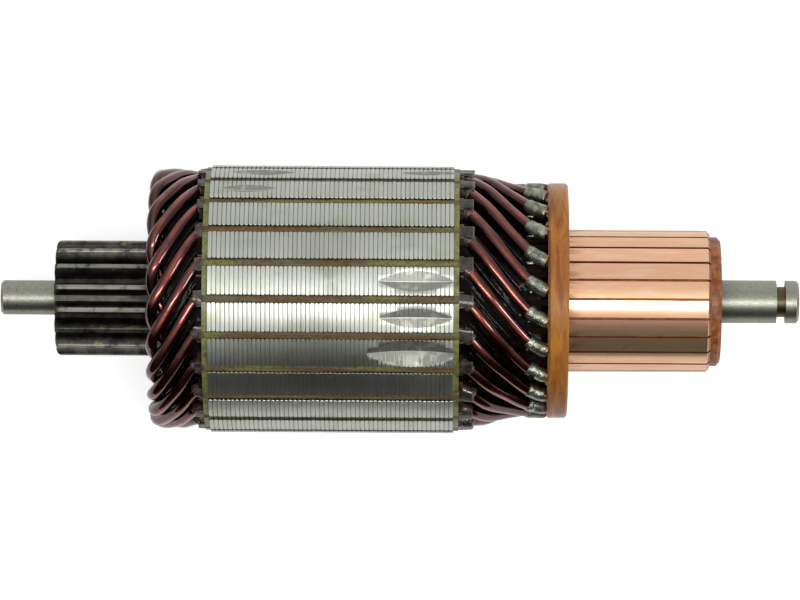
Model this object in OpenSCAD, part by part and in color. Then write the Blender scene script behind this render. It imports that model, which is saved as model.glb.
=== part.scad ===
// Armature of a geared starter motor: a laminated core with 23 slots and 23 hairpin coils,
// a moulded commutator, and a shaft with a sun gear cut in it.
// The shaft lies along X with the gear at -X. The origin is the middle of the commutator-end journal.

/* [Shaft] */
// Diameter of the journal at the commutator end
journal_d = 10; // [8:0.1:12]
// Length of the journal at the commutator end
journal_len = 13.2; // [8:0.1:24]
// Diameter of the retaining groove
groove_d = 7.1; // [5:0.1:7.8]
// Width of the retaining groove
groove_w = 2.1; // [1:0.1:4]
// Length of the end disc beyond the groove
end_disc_len = 3.1; // [1.5:0.1:8]
// Diameter of the pilot journal in front of the gear
pilot_d = 8; // [6:0.1:12]
// Length of the pilot journal
pilot_len = 13; // [6:0.1:24]
// Diameter of the shaft inside the core
core_seat_d = 16; // [14.5:0.1:19]
// Diameter of the shaft inside the commutator
commutator_seat_d = 14; // [12.5:0.1:15.5]
// Diameter of the shoulder that the core is pressed against
shoulder_d = 20; // [19.5:0.1:23]
// Length of that shoulder
shoulder_len = 4; // [2:0.1:6]

/* [Sun gear] */
// Number of teeth
gear_teeth = 16; // [14:1:18]
// Module of the teeth
gear_module = 1.5; // [1.4:0.05:1.6]
// Length of the teeth at full depth
gear_len = 16.3; // [10:0.1:20]
// Distance from the front face of the gear to the core
gear_to_core = 34.8; // [33:0.1:50]
// Radius of the cutter where the tooth gaps run out
hob_r = 24; // [16:0.5:28]
// Round of the front corners of the teeth
gear_round = 1.2; // [0.4:0.1:2]

/* [Core] */
// Number of slots, hairpin coils and commutator bars
slot_count = 23; // [21:2:23]
// Diameter of the core
core_d = 62; // [61:0.1:66]
// Number of laminations
lamination_count = 55; // [30:1:70]
// Thickness of one lamination
lamination_t = 1.02; // [0.8:0.01:1.2]
// Width of a slot
slot_w = 3.7; // [3.6:0.05:4]
// Width of the opening of a slot
slot_mouth = 1.65; // [1:0.05:2.5]
// Thickness of the tooth tips over a slot
tooth_lip = 0.85; // [0.6:0.05:1.2]
// Thickness of the end insulators
insulator_t = 1.2; // [0.8:0.1:2]
// Thickness of the slot liners
liner_t = 0.25; // [0.15:0.01:0.3]
// Length of liner that stands out of the core at each end
liner_overhang = 1; // [0.4:0.1:1.2]
// Thickness of the strips that close the slots
wedge_t = 0.5; // [0.3:0.05:0.8]
// Length of the strips beyond the insulator at the drive end
drive_wedge_overhang = 1.8; // [0.5:0.1:2]
// Length of the strips beyond the insulator at the commutator end
commutator_wedge_overhang = 3.3; // [0.5:0.1:3.6]

/* [Winding] */
// Diameter of the enamelled wire
wire_d = 2.8; // [2.4:0.05:2.85]
// Slots from one leg of a coil to the other
coil_span = 5; // [4:1:6]
// Distance from the core to the tips of the hairpins
drive_overhang = 13.4; // [12.4:0.1:15]
// Radius of the outer wires over the drive-end overhang
overhang_r = 28.8; // [28.4:0.1:29.2]
// Radial distance between the two layers of the drive-end overhang
overhang_layer_gap = 3.6; // [3.4:0.05:4]
// Thickness of the insulation between the two layers
layer_insulation_t = 0.3; // [0.2:0.05:0.4]

/* [Commutator] */
// Diameter of the brush track
track_d = 33; // [32:0.1:36]
// Length of the brush track
track_len = 32.9; // [20:0.1:40]
// Gap between two bars
bar_gap = 0.6; // [0.4:0.05:0.9]
// Depth of the gap below the brush track
undercut = 0.8; // [0.3:0.05:1.2]
// Thickness of the risers that hold the wire ends
riser_t = 5.2; // [4:0.1:7]
// Distance from the core to the risers
riser_to_core = 15.2; // [14.6:0.1:18]
// Diameter of the ring in front of the risers
ring_d = 54.6; // [50:0.1:56]
// Thickness of that ring
ring_t = 4.7; // [3:0.1:8]
// Diameter of the moulded collar at the end of the bars
collar_d = 30; // [27:0.1:31]
// Thickness of the moulded collar
collar_t = 2.5; // [2:0.1:4]
// Turn of the undercuts from the tooth centres in degrees
commutator_turn = 6.5; // [0:0.5:7.5]

/* [Balancing] */
// Radius of the disc cutter that made the balance notches
cutter_r = 31; // [20:1:40]
// Half of the angle between the two flanks of a notch in degrees
notch_half_angle = 64; // [50:1:70]

/* [Hidden] */
$fn = 96;

function numbered(word, i) = str(word, i < 10 ? "0" : "", i);

pitch = 360 / slot_count;
fit = 0.05;                      // clearance of a piece laid beside another

// Radii of the slots and of the two layers of wire in them
core_r = core_d / 2;
wire_r = wire_d / 2;
slot_top_r = core_r - tooth_lip;
upper_r = slot_top_r - wedge_t - 2 * fit - wire_r;
lower_r = upper_r - wire_d - 2 * fit;
slot_floor_r = lower_r - wire_r - fit - liner_t;
slot_corner = 1.2;

// Places along X, from the journal towards the gear
collar_face = -journal_len / 2;
track_end = collar_face - collar_t;
ring_front = track_end - track_len;
riser_front = ring_front - ring_t;
riser_back = riser_front - riser_t;
commutator_face = riser_back - riser_to_core;
core_end = commutator_face - insulator_t;
core_start = core_end - lamination_count * lamination_t;
drive_face = core_start - insulator_t;
gear_face = drive_face - gear_to_core;
pilot_tip = gear_face - pilot_len;

// ---------- helpers ----------

// A shape drawn in Y and Z, extruded along X
module along_x(from, to)
    translate([from, 0, 0]) rotate([90, 0, 90]) linear_extrude(to - from) children();

// A body turned about X from a list of [x, radius]
module turned(profile)
    rotate([0, 90, 0]) rotate_extrude() polygon([for (p = profile) [p[1], p[0]]]);

module tube(from, to, inner_r, outer_r)
    turned([[from, inner_r], [to, inner_r], [to, outer_r], [from, outer_r]]);

module each_pitch(count = slot_count)
    for (i = [0:count - 1]) rotate(i * 360 / count) children();

// ---------- shaft with its sun gear ----------

gear_pitch_r = gear_module * gear_teeth / 2;
gear_tip_r = gear_pitch_r + gear_module;
gear_root_r = gear_pitch_r - 1.25 * gear_module;
gear_base_r = gear_pitch_r * cos(20);
gear_turn = 2.8;
flank_steps = 5;

function involute_angle(r) =
    r <= gear_base_r ? 0 : tan(acos(gear_base_r / r)) * 180 / PI - acos(gear_base_r / r);
half_tooth = 90 / gear_teeth + involute_angle(gear_pitch_r);
function flank_angle(r) = half_tooth - involute_angle(r);
function around(r, angle) = [r * sin(angle), r * cos(angle)];

// One tooth from root to tip and back; the flank follows the involute above the base circle
function tooth_points(turn) =
    let (radii = [for (i = [0:flank_steps]) gear_base_r + (gear_tip_r - gear_base_r) * i / flank_steps])
    concat(
        [around(gear_root_r, turn - half_tooth - 1.2)],
        [for (r = radii) around(r, turn - flank_angle(r))],
        [around(gear_tip_r, turn)],
        [for (i = [flank_steps:-1:0]) around(radii[i], turn + flank_angle(radii[i]))],
        [around(gear_root_r, turn + half_tooth + 1.2)]);

module gear_section()
    polygon([for (i = [0:gear_teeth - 1]) each tooth_points(i * 360 / gear_teeth)]);

runout_start = gear_face + gear_len;
runout_len = sqrt(pow(hob_r, 2) - pow(hob_r - (gear_tip_r - gear_root_r), 2));
gear_end = min(runout_start + runout_len, drive_face - shoulder_len);

// Floor of the tooth gaps where the cutter left them: an arc from root to blank diameter
function runout_r(x) = gear_root_r + hob_r - sqrt(pow(hob_r, 2) - pow(x - runout_start, 2));

module gear_blank() {
    corner = [for (a = [0:18:90]) [gear_face + gear_round * (1 - sin(a)), gear_tip_r - gear_round * (1 - cos(a))]];
    turned(concat([[gear_face, 0]], [for (i = [len(corner) - 1:-1:0]) corner[i]],
        [[gear_end - 0.6, gear_tip_r], [gear_end, gear_tip_r - 0.6], [gear_end, 0]]));
}

module gear() {
    intersection() {
        rotate([-gear_turn, 0, 0]) mirror([0, 1, 0]) along_x(gear_face, gear_end) gear_section();
        gear_blank();
    }
    intersection() {
        turned(concat([[runout_start, 0]],
            [for (i = [0:8]) let (x = runout_start + (gear_end - runout_start) * i / 8) [x, runout_r(x)]],
            [[gear_end, 0]]));
        gear_blank();
    }
}

centre_len = 4;        // depth of the lathe centres
centre_r = 0.8;
cone_r = 1.8;          // radius of their cones at the end face

// Lathe centre in the end face at x; it opens towards that face
module lathe_centre(x, side)
    translate([x, 0, 0]) rotate([0, side * 90, 0]) {
        translate([0, 0, centre_r - cone_r]) cylinder(h = cone_r, r1 = centre_r, r2 = 2 * cone_r - centre_r);
        translate([0, 0, -centre_len]) cylinder(h = centre_len, r = centre_r);
    }

seat_step_room = 6;    // from the step between the two seats to the risers

module shaft() color("dimgray") difference() {
    groove_end = journal_len / 2 + groove_w;
    end_face = groove_end + end_disc_len;
    chamfer = 0.6;
    commutator_start = riser_back - seat_step_room;
    union() {
        turned([
            [pilot_tip, 0], [pilot_tip, pilot_d / 2 - chamfer], [pilot_tip + chamfer, pilot_d / 2],
            [gear_face, pilot_d / 2], [gear_face, gear_root_r - 1], [gear_end, gear_root_r - 1],
            [gear_end, shoulder_d / 2], [drive_face, shoulder_d / 2], [drive_face, core_seat_d / 2],
            [commutator_start, core_seat_d / 2], [commutator_start + 1, commutator_seat_d / 2],
            [collar_face, commutator_seat_d / 2], [collar_face, journal_d / 2],
            [journal_len / 2, journal_d / 2], [journal_len / 2, groove_d / 2],
            [groove_end, groove_d / 2], [groove_end, journal_d / 2],
            [end_face - chamfer, journal_d / 2], [end_face, journal_d / 2 - chamfer], [end_face, 0]]);
        gear();
    }
    lathe_centre(pilot_tip, -1);
    lathe_centre(end_face, 1);
}

// ---------- core ----------

// Slot outline with its mouth at +Z, less an even margin
module slot_shape(margin = 0) {
    half = slot_w / 2 - margin;
    floor_r = slot_floor_r + margin;
    round_r = slot_corner - margin;
    translate([-half, floor_r + round_r]) square([2 * half, slot_top_r - floor_r - round_r]);
    translate([-half + round_r, floor_r]) square([2 * (half - round_r), 2 * round_r]);
    for (side = [-1, 1])
        translate([side * (half - round_r), floor_r + round_r]) circle(round_r);
}

module slots_at_half_pitch()
    rotate(pitch / 2) each_pitch() {
        slot_shape();
        translate([-slot_mouth / 2, slot_top_r - 0.5]) square([slot_mouth, tooth_lip + 1.5]);
    }

// Balance notches: [tooth, distance from the drive end of the stack, depth]
notches = [[0, 47.6, 1.2], [1, 47.6, 1.1], [2, 46.7, 1.75], [-3, 8.9, 0.7], [-4, 12.2, 0.85], [-4, 50.4, 0.7]];

module notch_cutter(tooth, along, depth)
    rotate([tooth * pitch, 0, 0])
    translate([core_start + along, 0, core_r - depth + cutter_r])
    rotate([90, 0, 0]) rotate_extrude()
    polygon([[cutter_r - 4, -4 * tan(notch_half_angle)], [cutter_r, 0], [cutter_r - 4, 4 * tan(notch_half_angle)]]);

module core_laminations() color("silver") difference() {
    tube(core_start, core_end, core_seat_d / 2, core_r);
    along_x(core_start - 1, core_end + 1) slots_at_half_pitch();
    for (n = notches) notch_cutter(n[0], n[1], n[2]);
}

module end_insulator(from)
    color("darkkhaki") along_x(from, from + insulator_t) difference() {
        circle(core_r - 0.5);
        circle(core_seat_d / 2);
        slots_at_half_pitch();
    }

module drive_end_insulator() end_insulator(drive_face);
module commutator_end_insulator() end_insulator(core_end);

module slot_liners()
    color("peru") along_x(drive_face - liner_overhang, commutator_face + liner_overhang)
    rotate(pitch / 2) each_pitch() difference() {
        slot_shape();
        slot_shape(liner_t);
        translate([-slot_w / 2 + liner_t, slot_top_r - 1]) square([slot_w - 2 * liner_t, 2]);
    }

module slot_wedges()
    color("tan") along_x(drive_face - drive_wedge_overhang, commutator_face + commutator_wedge_overhang)
    rotate(pitch / 2) each_pitch()
    translate([-slot_w / 2 + liner_t + fit, slot_top_r - wedge_t])
        square([slot_w - 2 * (liner_t + fit), wedge_t]);

// ---------- hairpin coils ----------
// A coil is one wire. Its path is a list of [x, turn in pitches, radius].

leg_span = round(coil_span);                      // the legs lie in slots, so their span is whole
drive_tip = drive_face - drive_overhang + wire_r;
drive_bend = drive_face - 1.7;
commutator_bend = commutator_face + 1.6;
riser_bend = riser_back - 1;
inner_overhang_r = overhang_r - overhang_layer_gap;
riser_rise = 9.15;                                // of the outer wires over the brush track
riser_upper_r = track_d / 2 + riser_rise;
riser_lower_r = riser_upper_r - wire_d - fit;
bar_turn = commutator_turn / pitch;               // of an undercut from a tooth centre, in pitches
upper_lead = floor(leg_span / 2) + bar_turn;      // turn of the upper leg from slot to bar
lower_lead = upper_lead + 1 - leg_span;           // turn of the lower leg from slot to bar

function mix(a, b, t) = a + (b - a) * t;
function ease(t) = let (u = min(1, max(0, t))) u * u * (3 - 2 * u);

// Millimetres per pitch at a radius
function pitch_mm(r) = 2 * PI * r / slot_count;

// Round a corner in the unrolled sheet [x, turn, radius] by a parabola that starts a given reach away
function sheet_distance(p, q) =
    norm([q[0] - p[0], (q[1] - p[1]) * pitch_mm((p[2] + q[2]) / 2), q[2] - p[2]]);
function rounded(a, corner, b, reach, steps) =
    let (p = mix(corner, a, reach / sheet_distance(corner, a)),
         q = mix(corner, b, reach / sheet_distance(corner, b)))
    [for (i = [0:steps]) let (t = i / steps) mix(mix(p, corner, t), mix(corner, q, t), t)];

function between(p, q, steps) = [for (i = [1:steps - 1]) mix(p, q, i / steps)];

wire_bend = 1.5;       // reach of the bends at the slots and the risers
tip_bend = 4.2;        // reach of the bend at the tip of the hairpin
tip_drop = 4;          // distance along the rim, either side of the tip, in which the wire changes layer
mid_r = (overhang_r + inner_overhang_r) / 2;
tip_slope = atan(leg_span / 2 * pitch_mm(mid_r) / (drive_bend - drive_tip));
tip_corner = drive_tip - tip_bend * cos(tip_slope) / 2;

tail_len = 4.3;        // length of the outer wires' tails, which lie across the risers
tail_lean = 0.3;       // turn of the tails, in pitches

// Commutator-end leg from the riser to the slot, with one radius for each stretch between its ends;
// beyond its bend the tail leans by a given turn, and its slanted end stays clear of the ring
function lead(lead_turn, r_riser, stretches, r_slot, bend_x, lean) =
    let (slant = atan(lean * pitch_mm(r_riser) / (riser_front - bend_x)),
         a = [riser_front - 2 * fit - wire_r * sin(slant), lead_turn + lean, r_riser],
         b = [bend_x, lead_turn, r_riser],
         c = [commutator_bend, 0, r_slot],
         n = len(stretches) + 1,
         slope = [for (i = [1:n - 1])
             [mix(bend_x, commutator_bend, i / n), lead_turn * (1 - i / n), stretches[i - 1]]])
    concat([a], rounded(a, b, slope[0], wire_bend, 1), slope,
        rounded(slope[n - 2], c, [core_end, 0, r_slot], wire_bend, 2));

function moved(path, turn) = [for (p = path) [p[0], p[1] + turn, p[2]]];
function reversed(list) = [for (i = [len(list) - 1:-1:0]) list[i]];

// Hairpin tip: out along one layer, round the tip, and back in the other
function hairpin() =
    let (half = leg_span / 2,
         steps = 5,
         b = [drive_bend, 0, upper_r],
         c = [drive_bend, leg_span, lower_r],
         tip = [tip_corner, half, mid_r],
         loop = rounded([b[0], b[1], mid_r], tip, [c[0], c[1], mid_r], tip_bend, steps),
         near = [loop[0][0], loop[0][1], overhang_r],
         far = [loop[steps][0], loop[steps][1], inner_overhang_r],
         first = rounded([core_start, 0, upper_r], b, near, wire_bend, 2),
         last = rounded(far, c, [core_start, leg_span, lower_r], wire_bend, 2))
    concat(first,
        [for (p = between(first[2], near, 3)) [p[0], p[1], overhang_r]],
        [for (p = loop)
            [p[0], p[1], mix(overhang_r, inner_overhang_r,
                ease(0.5 + (p[1] - half) * pitch_mm(mid_r) / (2 * tip_drop)))]],
        [for (p = between(far, last[0], 3)) [p[0], p[1], inner_overhang_r]],
        last);

// Radii along the slopes between slot and riser; the inner layer drops first and leaves room
upper_stretches = [mix(riser_upper_r, upper_r, 0.15), mix(riser_upper_r, upper_r, 0.8)];
lower_stretches = [mix(riser_lower_r, lower_r, 0.15)];

coil_path = concat(
    lead(upper_lead, riser_upper_r, upper_stretches, upper_r, riser_front - tail_len, tail_lean),
    hairpin(),
    moved(reversed(lead(lower_lead, riser_lower_r, lower_stretches, lower_r, riser_bend, 0)), leg_span));

function in_space(p) = let (a = p[1] * pitch) [p[0], -p[2] * sin(a), p[2] * cos(a)];
function unit(v) = v / norm(v);

wire_sides = 8;

function wire_ring(path, i) =
    let (here = in_space(path[i]),
         before = in_space(path[max(i - 1, 0)]),
         after = in_space(path[min(i + 1, len(path) - 1)]),
         along = unit(unit(after - here + (i == len(path) - 1 ? here - before : [0, 0, 0]))
                    + unit(here - before + (i == 0 ? after - here : [0, 0, 0]))),
         outward = unit([0, here[1], here[2]]),
         up = unit(outward - (outward * along) * along),
         across = cross(along, up))
    [for (k = [0:wire_sides - 1]) let (a = (k + 0.5) * 360 / wire_sides)
        here + wire_r * (cos(a) * up + sin(a) * across)];

module wire(path) {
    rings = [for (i = [0:len(path) - 1]) wire_ring(path, i)];
    n = wire_sides;
    last = len(path) - 1;
    polyhedron(
        points = [for (ring = rings) each ring],
        faces = concat(
            [[for (k = [0:n - 1]) k]],
            [for (i = [0:last - 1]) for (k = [0:n - 1])
                each [[i * n + k, (i + 1) * n + k, (i + 1) * n + (k + 1) % n],
                      [i * n + k, (i + 1) * n + (k + 1) % n, i * n + (k + 1) % n]]],
            [[for (k = [n - 1:-1:0]) last * n + k]]));
}

module coil(i) color("firebrick") rotate([(i - 0.5) * pitch, 0, 0]) wire(coil_path);

// Insulation between the two layers of wire outside the core
tip_room = 3.6;        // from the corner of the hairpin tips to the insulation
bend_room = 2.8;       // from the bends at the slots to the insulation
cone_len = 4;          // length of the insulation at the commutator end
cone_drop = 0.8;       // of its wide end below the middle of the two layers
cone_lift = 0.53;      // of its narrow end above the middle of the two layers

module drive_layer_insulation()
    color("wheat") tube(tip_corner + tip_room, drive_bend - bend_room,
        mid_r - layer_insulation_t / 2 - fit, mid_r + layer_insulation_t / 2 - fit);

module commutator_layer_insulation() color("wheat") {
    from = commutator_bend + bend_room + 2 * fit;
    to = from + cone_len;
    from_r = (upper_r + lower_r) / 2 - cone_drop;
    to_r = (riser_upper_r + riser_lower_r) / 2 + cone_lift;
    half = layer_insulation_t / 2;
    turned([[from, from_r - half], [to, to_r - half], [to, to_r + half], [from, from_r + half]]);
}

// ---------- commutator ----------

track_r = track_d / 2;
bush_t = 2;
bush_r = commutator_seat_d / 2 + bush_t;
foot_r = bush_r + 2.6;
foot_top_r = track_r - 2.9;
hook = 2.4;
riser_r = riser_lower_r + wire_r;
riser_slot_w = wire_d + 0.2;
bar_chamfer = 0.7;

// Side view of a bar: brush track, riser and the dovetail foot that the moulding grips
module bar_section()
    turned([
        [riser_back, riser_r], [riser_front, riser_r], [riser_front, track_r],
        [track_end - bar_chamfer, track_r], [track_end, track_r - bar_chamfer], [track_end, foot_top_r + 1],
        [track_end - hook, foot_top_r], [track_end - hook / 2, foot_r],
        [riser_back + hook / 2, foot_r], [riser_back + hook, foot_top_r], [riser_back, foot_top_r + 1]]);

// Wedge between two gaps of even width
module bar_wedge() {
    apex = bar_gap / 2 / sin(pitch / 2);
    near = foot_r - 1;
    far = riser_r + 1;
    function half_width(r) = (r - apex) * tan(pitch / 2);
    along_x(riser_back - 1, track_end + 1)
        polygon([[-half_width(near), near], [half_width(near), near],
                 [half_width(far), far], [-half_width(far), far]]);
}

module bar(i)
    color("sandybrown") rotate([(i - 0.5) * pitch + commutator_turn, 0, 0]) difference() {
        intersection() {
            bar_section();
            bar_wedge();
        }
        along_x(riser_back - 1, riser_front) {
            translate([0, riser_lower_r]) circle(riser_slot_w / 2);
            translate([-riser_slot_w / 2, riser_lower_r]) square([riser_slot_w, wire_d]);
        }
    }

module commutator_bush()
    color("lightsteelblue") tube(riser_back - 1.5, collar_face - 2, commutator_seat_d / 2, bush_r);

// Moulding inside and between the bars, with the collar at their end
module commutator_hub() color("saddlebrown") {
    collar_r = collar_d / 2;
    edge = 0.8;
    web_r = track_r - undercut;
    back = riser_back - 0.8;
    back_r = riser_r - 4.5;
    rotate([commutator_turn, 0, 0]) difference() {
        turned([
            [back, bush_r], [back, back_r], [riser_front, back_r],
            [riser_front, web_r], [track_end - bar_chamfer, web_r], [track_end - bar_chamfer, collar_r],
            [collar_face - edge, collar_r], [collar_face, collar_r - edge],
            [collar_face, commutator_seat_d / 2], [collar_face - 2, commutator_seat_d / 2],
            [collar_face - 2, bush_r]]);
        for (i = [1:slot_count]) rotate([(i - 0.5) * pitch, 0, 0]) intersection() {
            bar_section();
            bar_wedge();
        }
    }
}

module riser_ring() color("sienna") {
    edge = 0.5;
    turned([
        [riser_front, track_r], [riser_front, ring_d / 2 - edge], [riser_front + edge, ring_d / 2],
        [ring_front - edge, ring_d / 2], [ring_front, ring_d / 2 - edge], [ring_front, track_r]]);
}

// ---------- nodes ----------

shaft();
core_laminations();
drive_end_insulator();
commutator_end_insulator();
slot_liners();
slot_wedges();
drive_layer_insulation();
commutator_layer_insulation();
commutator_bush();
commutator_hub();
riser_ring();
for (i = [1:slot_count]) coil(i);
for (i = [1:slot_count]) bar(i);
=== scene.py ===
"""Looks of the motor armature.

A stack of sheet edges, enamelled hairpins, varnish, paper cuffs, tinned wire ends, a turned commutator and a
shaft with its sun gear. Lengths are in millimetres until a mesh is made.
"""

import math

import bmesh
import bpy
import numpy as np
from mathutils import Matrix, Vector
from mathutils.geometry import tessellate_polygon


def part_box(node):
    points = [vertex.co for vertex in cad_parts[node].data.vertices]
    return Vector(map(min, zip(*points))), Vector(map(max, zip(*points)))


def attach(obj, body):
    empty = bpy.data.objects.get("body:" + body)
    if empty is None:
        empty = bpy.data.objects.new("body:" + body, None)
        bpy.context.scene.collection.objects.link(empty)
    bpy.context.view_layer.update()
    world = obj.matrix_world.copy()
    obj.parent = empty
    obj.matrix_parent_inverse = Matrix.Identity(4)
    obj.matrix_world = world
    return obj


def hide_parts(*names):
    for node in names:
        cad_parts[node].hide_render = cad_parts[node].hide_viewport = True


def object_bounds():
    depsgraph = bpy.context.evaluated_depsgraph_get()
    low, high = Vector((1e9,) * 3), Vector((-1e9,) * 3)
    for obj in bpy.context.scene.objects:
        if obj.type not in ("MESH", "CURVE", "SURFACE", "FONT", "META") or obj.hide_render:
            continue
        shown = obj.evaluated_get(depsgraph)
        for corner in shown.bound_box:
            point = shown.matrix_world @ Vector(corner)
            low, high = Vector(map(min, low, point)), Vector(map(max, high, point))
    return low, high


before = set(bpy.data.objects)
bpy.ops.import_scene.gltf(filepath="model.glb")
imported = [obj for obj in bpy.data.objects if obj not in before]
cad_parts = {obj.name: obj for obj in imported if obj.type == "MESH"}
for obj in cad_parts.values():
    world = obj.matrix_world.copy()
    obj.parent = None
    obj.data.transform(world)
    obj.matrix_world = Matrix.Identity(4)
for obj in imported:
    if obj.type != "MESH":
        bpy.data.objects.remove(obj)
cad_box = [list(corner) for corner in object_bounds()]

MM = 0.001
COILS = 23
PITCH = 2 * math.pi / COILS


def span(node):
    """Ends of a CAD node along the shaft, and its outer radius."""
    low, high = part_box(node)
    return low.x / MM, high.x / MM, max(-low.y, high.y, -low.z, high.z) / MM


# ---------- sizes, from the frame where it holds them ----------

CORE_START, CORE_END, CORE_R = span("core_laminations")
DRIVE_FACE = span("drive_end_insulator")[0]
COMM_FACE = span("commutator_end_insulator")[1]
RISER_FRONT, RING_FRONT, _ = span("riser_ring")
SHAFT_START, SHAFT_END, GEAR_R = span("shaft")
DRIVE_TIP = span("coil_01")[0]
DRIVE_STRIP = DRIVE_FACE - span("slot_wedges")[0]
COMM_STRIP = span("slot_wedges")[1] - COMM_FACE
SHEETS = 55
SHEET_T = (CORE_END - CORE_START) / SHEETS
TRACK_R = 16.5
WIRE_R = 1.4
SLOT_W = 3.7
MOUTH_W = 1.65
LIP = 0.85
SLOT_TOP_R = CORE_R - LIP
UPPER_R = 28.15
LOWER_R = 25.25
SLOT_FLOOR_R = 23.55
STRIP_T = 0.5
BORE_R = 8.0
BORE_SIDES = 48
RISER_LEN = 5.2
RISER_BACK = RISER_FRONT - RISER_LEN
TAIL_LEN = 4.3
TAIL_LEAN = 0.3
COMM_TURN = math.radians(6.5)
PILOT_LEN = 13.0
GEAR_FACE = SHAFT_START + PILOT_LEN
UNROLL_R = 30.0

rng = np.random.default_rng(23)


# ---------- meshes ----------


def mesh_object(name, points, faces, material):
    """A mesh from points in millimetres, riding on the one body."""
    data = bpy.data.meshes.new(name)
    data.from_pydata([tuple(p) for p in np.asarray(points) * MM], [], [tuple(f) for f in faces])
    shell = bmesh.new()
    shell.from_mesh(data)
    bmesh.ops.recalc_face_normals(shell, faces=shell.faces)
    shell.to_mesh(data)
    shell.free()
    data.materials.append(material)
    data.shade_smooth()
    piece = bpy.data.objects.new(name, data)
    bpy.context.scene.collection.objects.link(piece)
    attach(piece, "root")
    return piece


def polar(x, radius, angle):
    """A point at a radius and a turn about the shaft, counted from +Z towards -Y."""
    return np.array([x, -radius * math.sin(angle), radius * math.cos(angle)])


def skin(rings, caps=True):
    """Points and faces of a skin through closed rings of equal length; caps fill its two ends."""
    n = len(rings[0])
    points = [p for ring in rings for p in ring]
    faces = []
    for i in range(len(rings) - 1):
        for k in range(n):
            a, b = i * n + k, i * n + (k + 1) % n
            faces.append((a, b, b + n, a + n))
    if caps:
        faces.append(tuple(range(n - 1, -1, -1)))
        faces.append(tuple(range(len(points) - n, len(points))))
    return points, faces


def joined(parts):
    """Several (points, faces) as one."""
    points, faces = [], []
    for part_points, part_faces in parts:
        base = len(points)
        points.extend(part_points)
        faces.extend(tuple(i + base for i in f) for f in part_faces)
    return points, faces


# ---------- materials ----------


def rgba(value):
    """A colour with full alpha; anything else passes as it is."""
    return (*value, 1.0) if isinstance(value, tuple) and len(value) == 3 else value


class Tree:
    """A node tree with short calls for its nodes."""

    def __init__(self, tree):
        self.tree = tree

    def give(self, socket, value):
        if isinstance(value, bpy.types.NodeSocket):
            self.tree.links.new(value, socket)
        else:
            socket.default_value = value

    def node(self, kind, **inputs):
        made = self.tree.nodes.new("ShaderNode" + kind)
        for key, value in inputs.items():
            self.give(made.inputs[key.replace("_", " ")], value)
        return made

    def maths(self, operation, *values):
        made = self.node("Math")
        made.operation = operation
        for socket, value in zip(made.inputs, values):
            self.give(socket, value)
        return made.outputs[0]

    def vector_maths(self, operation, vector, scale=None):
        made = self.node("VectorMath")
        made.operation = operation
        self.give(made.inputs[0], vector)
        if scale is not None:
            self.give(made.inputs["Scale"], scale)
        return made.outputs[0]

    def mix(self, factor, a, b):
        """Between two colours."""
        made = self.node("Mix")
        made.data_type = "RGBA"
        self.give(made.inputs["Factor"], factor)
        self.give(made.inputs[6], rgba(a))
        self.give(made.inputs[7], rgba(b))
        return made.outputs[2]


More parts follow.
